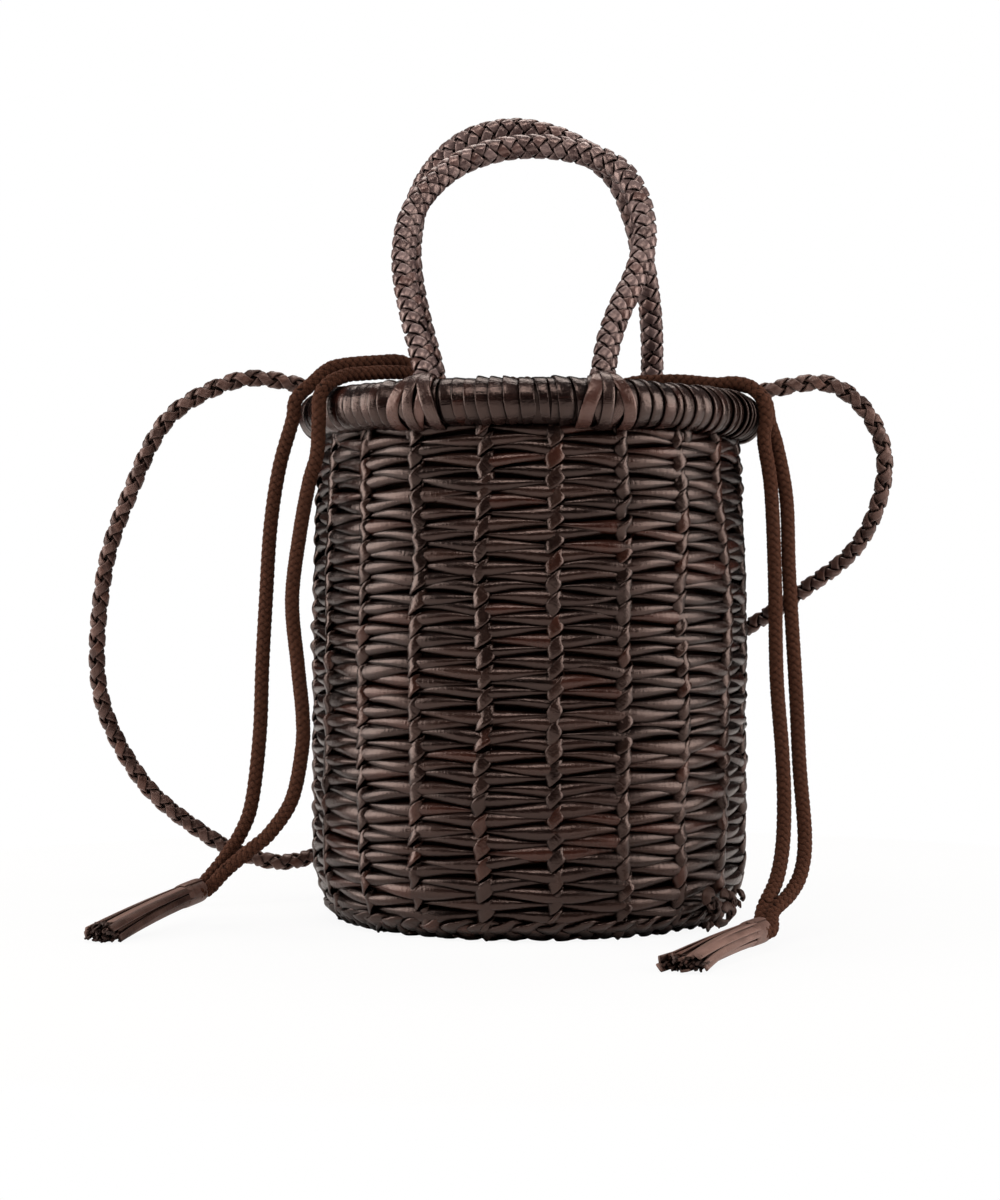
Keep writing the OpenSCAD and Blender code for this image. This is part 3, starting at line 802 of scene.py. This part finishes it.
def build_cord(side, name, neck_side, end_side, aside, cross_z, over, hang):
    """One cord, from the neck, over the rim and down to the tassel.

    neck_side and end_side say on which side of its twin it runs there. It crosses the rim at height cross_z,
    aside from its side's radius. over holds its points past the rim (distance from the axis, aside, height)
    and hang the points it hangs through.
    """
    turn = CORD_TURN[side]
    pivot = joint_pivot(f"{side}_tassel_swing")
    direction = TASSEL_DIRECTION[side]
    body = f"{side}_cords"
    neck_blend = between(beside(turn, NECK_R + 20, 0, NECK_Z),
                         beside(turn, NECK_R + 2, 0, NECK_Z))
    rim_blend = between(beside(turn, 78, 0, RIM_Z + 18), beside(turn, 95, 0, RIM_Z + 16))
    end_blend = between(pivot - 9 * direction, pivot + 3 * direction)
    sideways = unit(np.cross(direction, UP)) * end_side
    start = neck_side * 3.4
    neck = [beside(turn, NECK_R + 1, neck_side * 2.2, NECK_Z + CORD_LIFT[side] + 2.0),
            beside(turn, NECK_R + 8.4, start, cross_z * 0.3 + (NECK_Z + 5) * 0.7),
            beside(turn, 58, start + (aside - start) / 3, cross_z + 1.8),
            beside(turn, 70, start + (aside - start) * 2 / 3, cross_z + 1.6),
            beside(turn, 84.5, aside, cross_z)]
    rim = [beside(turn, *point) for point in over]
    end = [pivot - 3.5 * direction + 2.6 * sideways, pivot + 5 * direction + 2.2 * sideways]
    line = even(spline(np.vstack([neck, rim, hang, end]), 24), 0.5)
    s = lengths_along(line)
    from_axis = np.hypot(line[:, 0], line[:, 1])
    cut_1 = s[np.argmax(from_axis > 66)]
    cut_2 = s[np.argmax(from_axis > 101)] + 4
    build_braid(f"{side}_{name}_drawcord", line, (0, 1, 0.2),
                [("_neck", 0, cut_1, neck_blend), ("_rim", cut_1, cut_2, rim_blend),
                 ("_tail", cut_2, -22, on(body)), ("_end", -22, 0, end_blend)],
                CORD, "cord_textile", f"{side}_drawcord_tails", strands=8, period=13, radius=2.15, lift=0.35,
                size=(2.5, 1.5), profile=ROUND, tone=(0.3, 0.7))


def right_over(aside):
    """Both right cords pass the rim alike."""
    return [(92, aside, RIM_Z + 14.2), (99.5, aside, RIM_Z + 12.4), (105, aside, RIM_Z + 6.4)]


def build_cords():
    """The four cords, two to each side's tassel."""
    build_cord("left", "front", neck_side=1, end_side=-1, aside=18, cross_z=238,
               over=[(88, 19.2, 237.6), (92, 20.7, 236.4), (98.5, 23.5, RIM_Z + 11.8)],
               hang=[(-84.9, -64, 227.5), (-85.2, -65.2, 218), (-86.5, -62, 203), (-90.5, -57.5, 191.5),
                     (-95, -55, 169.5), (-98.5, -54, 141), (-96, -54, 112.5), (-94, -53.5, 91.5),
                     (-94.5, -52.5, 76.5), (-99.5, -49, 55), (-110, -44, 40), (-119, -41, 32.5),
                     (-130.5, -37.5, 23)])
    build_cord("left", "back", neck_side=-1, end_side=1, aside=-4.6, cross_z=244,
               over=[(92, -4.6, 241.6), (99.5, -4.6, RIM_Z + 13.5)],
               hang=[(-99.6, -37.6, 228), (-101, -37.4, 219.5), (-107, -36, 199), (-111, -35.5, 173.5),
                     (-113, -36, 141), (-114.5, -36.5, 112), (-115.5, -37, 83), (-119, -36, 54),
                     (-124, -34, 40), (-133, -32, 26.5)])
    build_cord("right", "front", neck_side=-1, end_side=1, aside=-4.6, cross_z=235.3, over=right_over(-4.6),
               hang=[(104.3, -21, 219), (103.5, -20.5, 210.5), (106.5, -21.5, 189), (108, -25, 152),
                     (108.5, -33, 108.5), (110.5, -43, 77), (111, -52, 56.5), (110, -63, 38.5),
                     (107, -75, 25.5), (101.5, -88, 15.5)])
    build_cord("right", "back", neck_side=1, end_side=-1, aside=4.6, cross_z=235.3, over=right_over(4.6),
               hang=[(106.2, -11.5, 219), (109.5, -11, 208), (113.5, -13, 185), (114.5, -17, 152),
                     (117, -27, 102), (118, -39, 70.5), (119.5, -56, 42), (117.5, -67, 28), (112.5, -77, 20),
                     (105, -89, 14)])


# -------- tassels
TASSEL_DIRECTION = {"left": unit([-28, -61, -9]), "right": unit([-33, -64, -2.6])}
# how much wider, sideways and upright, each tassel is at its end
TASSEL_FLARE = {"left": (0.25, -0.1), "right": (0.9, -0.5)}


TASSEL_LENGTH = 70.0
SLEEVE_R = 4.0


def settle(line, t):
    """Lets a strip sag towards the table, t of the way along it, without passing into it."""
    line[:, 2] = np.maximum(line[:, 2] - 2.3 * t ** 2, 0.8 + 0.15 * line[:, 2])
    return line


def build_sleeve(side, pivot, d, a, b):
    """The tassel's sleeve: wrapped round with its ends lapped, leaving a slit on top."""
    ring = np.radians(np.linspace(96, 96 + 380, 44))
    lap = SLEEVE_R + 0.45 + 0.6 * np.linspace(0, 1, 44)
    circle = a[None] * (np.cos(ring) * lap)[:, None] + b[None] * (np.sin(ring) * lap)[:, None]
    bundle = Bundle()
    bundle.sweep(pivot + circle + d * 6.5, unit(circle), 13.5, 0.8, FLAT, tone=0.6)
    bundle.fix(f"{side}_tassel_sleeve", TASSEL, "leather_braid", f"{side}_tassel", f"{side}_tassel_band")


def build_strips(side, pivot, d, a, b):
    """The strips below the sleeve, an outer and an inner ring of them."""
    wide, high = TASSEL_FLARE[side]
    t = np.linspace(0, 1, 26)
    bundle = Bundle()
    for layer, count, layer_r in ((0, 10, SLEEVE_R + 0.3), (1, 6, SLEEVE_R - 1.3)):
        for i in range(count):
            angle = TAU * (i + 0.1 * rng.normal()) / count + 0.5 * layer
            out = a * math.cos(angle) + b * math.sin(angle)
            across = np.cross(d, out)
            end = TASSEL_LENGTH + rng.uniform(-7, 2) - 2 * layer
            s = 9.0 + (end - 9.0) * t
            spread = layer_r * (1 + 0.16 * t ** 2) + 0.25 * rng.normal() * t
            bend = 0.7 * rng.normal() * t ** 2
            line = (pivot + d * s[:, None] + a * (math.cos(angle) * spread * (1 + wide * t ** 2))[:, None]
                    + b * (math.sin(angle) * spread * (1 + high * t ** 2))[:, None] + across * bend[:, None])
            width = TAU * layer_r / count * (1.1 + 0.04 * rng.normal() + (0.05 + 0.3 * wide) * t)
            lean = out + across * (0.16 + 0.1 * rng.normal())
            bundle.sweep(settle(line, t), np.tile(lean, (len(t), 1)), width, 0.95, FLAT)
    bundle.fix(f"{side}_tassel_strips", TASSEL, "leather_edge", f"{side}_tassel", f"{side}_tassel_fringe")


def build_cut_ends(side, pivot, d, a, b):
    """Ragged scraps at the strips' cut ends."""
    wide, high = TASSEL_FLARE[side]
    t = np.linspace(0, 1, 6)
    bundle = Bundle()
    for _ in range(60):
        angle = rng.uniform(0, TAU)
        r = (SLEEVE_R + 0.8) * math.sqrt(rng.uniform())
        base = (pivot + d * (TASSEL_LENGTH - 4 + rng.uniform(-3, 2))
                + a * (math.cos(angle) * r * (1 + wide)) + b * (math.sin(angle) * r * (1 + high)))
        curl = unit(rng.normal(size=3) + d * 1.2)
        line = settle(base + d * 2.6 * t[:, None] + curl * 2.0 * t[:, None] ** 2, 0.94 + 0.06 * t)
        bundle.sweep(line, np.tile(unit(np.cross(curl, d) + 0.01), (len(t), 1)), 1.3, 0.8, FLAT)
    bundle.fix(f"{side}_tassel_cut_ends", RAW, "leather_edge", f"{side}_tassel")


def build_tassel(side):
    """A rolled piece of leather: whole at the sleeve, cut into strips below it, with ragged ends."""
    pivot = joint_pivot(f"{side}_tassel_swing")
    d = TASSEL_DIRECTION[side]
    a = unit(np.cross(d, UP))
    b = np.cross(a, d)
    for build in (build_sleeve, build_strips, build_cut_ends):
        build(side, pivot, d, a, b)


# -------- lining pouch
POUCH_LOW, POUCH_HIGH = node_box("liner_pouch")
PLEATS = 34
COLLAR_TURN = np.arange(PLEATS * 14) / (PLEATS * 14) * TAU
PLEAT_PHASE = COLLAR_TURN * PLEATS + 0.5 * np.sin(COLLAR_TURN * 3) + 0.35 * np.sin(COLLAR_TURN * 7 + 1)
PLEAT_DEPTH = 1 + 0.25 * np.sin(COLLAR_TURN * 5 + 2)


def sheet(points, thickness):
    """A closed double sheet: the grid and a copy pushed over by thickness, joined round both rims."""
    return np.concatenate([points, points[:, ::-1] + thickness, points[:, :1]], axis=1)


def lined(points):
    """A bundle holding one grid."""
    bundle = Bundle()
    bundle.grid(points)
    return bundle


def build_pouch():
    """Cotton pouch inside the wall, in soft upright folds."""
    columns = 240
    turn = np.arange(columns) / columns * TAU
    folds = wobble(columns, 0.6, (9, 14, 23)) + wobble(columns, 0.5, (31, 40))
    rows = []
    for z in np.linspace(POUCH_LOW[2] + 1, POUCH_HIGH[2], 40):
        pull = 0.35 + 0.65 * abs(math.sin(z / 37.0))
        rows.append(around(turn, np.minimum(POUCH_HIGH[0] - 1.6, wall_at(z) - 6.4) + folds * pull, z))
    outer = np.stack(rows, axis=1)
    pouch = lined(sheet(outer, -unit(outer * [1, 1, 0]) * 0.8))
    pouch.fix("pouch_cloth", LINING, "lining", "bag", "liner_pouch")


def build_collar():
    """The pleated collar, drawn in from the pouch to the neck."""
    turn = COLLAR_TURN
    top = POUCH_HIGH[2]
    outer_r = POUCH_HIGH[0] - 1.8
    rows = []
    for t in np.linspace(0, 1, 34):
        r = outer_r + (NECK_R + 1.5 - outer_r) * t
        z = top - 0.5 + (NECK_Z - top) * (0.55 * t + 0.45 * smooth(t)) - 2.5 * math.sin(math.pi * t) * (1 - t)
        pleat = ((0.25 + 1.9 * smooth(t)) * PLEAT_DEPTH
                 * (0.75 * np.sin(PLEAT_PHASE) + 0.25 * np.sin(2 * PLEAT_PHASE + 0.7)))
        rows.append(around(turn, r + 0.4 * pleat, z + pleat))
    collar = lined(sheet(np.stack(rows, axis=1), -0.7 * UP))
    piece = collar.build("pouch_collar", LINING, "lining")
    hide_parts("liner_collar")
    between((top + 2) * UP, (NECK_Z - 4) * UP)(piece)


def build_channel():
    """The cord channel: a puckered tube with a small frill above it."""
    rows = []
    for a in np.linspace(0, TAU, 29)[:-1]:
        c, s = math.cos(a), math.sin(a)
        pleat = 0.8 * PLEAT_DEPTH * np.sin(PLEAT_PHASE)
        frill = 0.8 * max(0.0, s) ** 6
        z = NECK_Z - 1.2 + (5.4 + frill) * s + 0.6 * pleat * max(0.0, s)
        rows.append(around(COLLAR_TURN, NECK_R + (4.0 + 0.48 * pleat) * c, z))
    channel = lined(np.stack(rows + [rows[0]], axis=1))
    channel.fix("pouch_cord_channel", LINING, "lining", "pouch_neck", "liner_neck_hem")


def build_pouch_floor():
    """The pouch's floor, a little uneven."""
    turn = COLLAR_TURN[::2]
    rows = [around(turn, r, 5.2 + 0.35 * np.sin(turn * 6 + r / 9) * r / 80)
            for r in np.linspace(0.5, -POUCH_LOW[0] - 7, 16)]
    floor = lined(sheet(np.stack(rows, axis=1), -0.7 * UP))
    floor.fix("pouch_floor", LINING, "lining", "bag", "liner_base")


# -------- loose lacing ends at the foot
def build_end_knot():
    """Spare lacing at the foot: small crumpled curls against the wall, with frayed tips."""
    low, high = node_box("border_end_knot")
    centre = (low + high) / 2
    out = unit(centre * [1, 1, 0])
    side = np.array([-out[1], out[0], 0])
    bundle = Bundle()
    t = np.linspace(0, 1, 22)
    for _ in range(11):
        place = centre + side * rng.uniform(-13, 13) + UP * rng.uniform(-6, 5) - out * rng.uniform(0.5, 3)
        curl = rng.uniform(2.6, 4.2)
        start = rng.uniform(0, TAU)
        a = start + TAU * rng.uniform(0.3, 0.5) * t
        tilt = rng.normal() * 0.6
        line = (place + side * (curl * np.cos(a))[:, None] + UP * (curl * 0.8 * np.sin(a))[:, None]
                + out * (0.5 * tilt * curl * np.sin(a + 1) + 0.8 * t)[:, None])
        line[:, 2] = np.maximum(line[:, 2], 1.2)
        face = out + 0.8 * (side * np.cos(a)[:, None] + UP * np.sin(a)[:, None])
        bundle.sweep(line, face, 5.2 * (1 - 0.25 * t), 1.3, FOLD)
    s = np.linspace(0, 1, 8)
    for _ in range(12):
        place = centre + side * rng.uniform(-14, 14) + UP * rng.uniform(-7, 3) - out * 1.0
        way = unit(side * rng.normal() * 0.8 - UP * rng.uniform(0.0, 1.0) + out * rng.uniform(0.2, 1.0))
        line = place + way * rng.uniform(1.5, 3.2) * s[:, None] + side * rng.normal() * 1.5 * s[:, None] ** 2
        line[:, 2] = np.maximum(line[:, 2], 1.0)
        bundle.sweep(line, np.tile(out, (len(s), 1)), 3.8 * (1 - 0.35 * s), 0.9, FLAT)
    bundle.fix("foot_lacing_ends", RAW, "leather_edge", "bag", "border_end_knot")


# -------- assemble
def build_lashings():
    """Lacing that holds the handles and the strap to the rim."""
    # how far each of a handle's broad strands leans as it comes down over the rim, and its width
    splay = ((-1.0, 6.2), (0.9, 5.8), (-0.15, 5.0))
    front = [math.asin(FRONT_PATH[i][0] / RIM_R) for i in (0, -1)]
    rear = [math.pi - math.asin(REAR_PATH[i][0] / RIM_R) for i in (0, -1)]
    for side, turns in (("front", front), ("rear", rear)):
        rim_loops(f"{side}_handle_lacing", turns, f"{side}_handle_lashings", LASHING, splay=splay)
    for side, turn in (("left", -math.pi / 2), ("right", math.pi / 2)):
        rim_loops(f"strap_lacing_{side}", (turn,), f"strap_anchor_{side}", RIM, 0.03)


build_weft()
build_twining()
build_border()
build_base()
build_end_knot()
build_rim()
build_rim_tucks()
build_handle("front", FRONT_PATH, FRONT_LEAN, -1)
build_handle("rear", REAR_PATH, REAR_LEAN, 1)
build_lashings()
build_strap()
build_cords()
build_tassel("left")
build_tassel("right")
build_pouch()
build_collar()
build_channel()
build_pouch_floor()

# CAD nodes that stay in view keep their shape and take these materials
for node_name, obj in frame["nodes"].items():
    finish_material = CORD if "drawcord" in node_name or "tassel_core" in node_name else RAW
    for material_slot in obj.material_slots:
        material_slot.material = finish_material


# -------- studio
WARM = (1.0, 0.94, 0.885)


def area_light(name, place, target, size, power):
    """A rectangular light aimed at target; places and sizes are in metres."""
    data = bpy.data.lights.new(name, "AREA")
    data.shape = "RECTANGLE"
    data.size, data.size_y = size
    data.energy = power
    data.color = WARM
    obj = bpy.data.objects.new(name, data)
    obj.location = place
    obj.rotation_euler = (Vector(target) - Vector(place)).to_track_quat("-Z", "Y").to_euler()
    bpy.context.scene.collection.objects.link(obj)


def build_world():
    """White behind the object; the light it casts is strong overhead and weak near the horizon."""
    world = bpy.data.worlds.new("studio")
    bpy.context.scene.world = world
    n = Nodes(world)
    direction = n.add("ShaderNodeTexCoord").outputs["Generated"]
    up = n.add("ShaderNodeSeparateXYZ", {"Vector": direction}).outputs["Z"]
    overhead = n.maths("POWER", n.maths("MAXIMUM", up, 0.0), 1.6)
    glow = n.maths("ADD", n.times(overhead, 0.15), 0.005)
    seen = n.add("ShaderNodeLightPath").outputs["Is Camera Ray"]
    strength = n.add("ShaderNodeMix", {"Factor": seen, "A": glow, "B": 1.0}).outputs["Result"]
    background = n.tree.nodes["Background"]
    n.set(background.inputs["Color"], (1, 1, 1, 1))
    n.set(background.inputs["Strength"], strength)


def build_floor():
    """White paper that takes the object's soft shadow and fades into the white surroundings."""
    bpy.ops.mesh.primitive_plane_add(size=12, location=(0, 0, 0))
    ground = bpy.context.object
    ground.name = "studio_floor"
    n = Nodes(bpy.data.materials.new("studio_paper"))
    place = n.add("ShaderNodeTexCoord").outputs["Object"]
    tones = (0, linear((246, 246, 246))), (1, linear((252, 252, 252)))
    n.surface("Base Color", n.ramp(n.noise(place, 3, 2), *tones))
    n.surface("Roughness", 0.9)
    n.surface("Specular IOR Level", 0.1)
    distance = n.add("ShaderNodeVectorMath", {0: place}, operation="LENGTH").outputs["Value"]
    reach = {"Value": distance, "From Min": 0.16, "From Max": 0.42}
    veil = n.maths("MAXIMUM", n.add("ShaderNodeMapRange", reach).outputs["Result"], 0.92)
    seen = n.times(veil, n.add("ShaderNodeLightPath").outputs["Is Camera Ray"])
    white = n.add("ShaderNodeEmission", {"Strength": 1.0}).outputs["Emission"]
    both = n.add("ShaderNodeMixShader", {0: seen, 1: n.shader.outputs["BSDF"], 2: white}).outputs["Shader"]
    n.set(n.tree.nodes["Material Output"].inputs["Surface"], both)
    ground.data.materials.append(n.owner)


def build_studio():
    """White surroundings, two soft lights overhead and one at each side."""
    build_world()
    build_floor()
    area_light("top_back", (0, 0.5, 1.2), (0, 0, 0.15), (0.9, 0.5), 6)
    area_light("top_front", (0, -0.75, 1.15), (0, 0, 0.12), (0.8, 0.4), 6)
    area_light("side_left", (-1.08, -0.12, 0.45), (0, 0, 0.14), (0.8, 0.9), 11)
    area_light("side_right", (1.08, -0.12, 0.45), (0, 0, 0.14), (0.8, 0.9), 9.5)


def build_camera():
    """The photo's view: level, a little above the bag's middle and turned a little to the right."""
    turn = math.radians(4.5)
    distance, aside, height = 1.091, -0.0134, 0.141
    data = bpy.data.cameras.new("camera")
    data.lens = 73.2
    data.sensor_width = 36
    data.clip_start = 0.05
    data.clip_end = 30
    obj = bpy.data.objects.new("camera", data)
    obj.location = (aside * math.cos(turn) + distance * math.sin(turn),
                    aside * math.sin(turn) - distance * math.cos(turn), height)
    obj.rotation_euler = (math.pi / 2, 0, turn)
    bpy.context.scene.collection.objects.link(obj)
    bpy.context.scene.camera = obj


build_studio()
build_camera()
bpy.context.scene.view_settings.view_transform = "Standard"
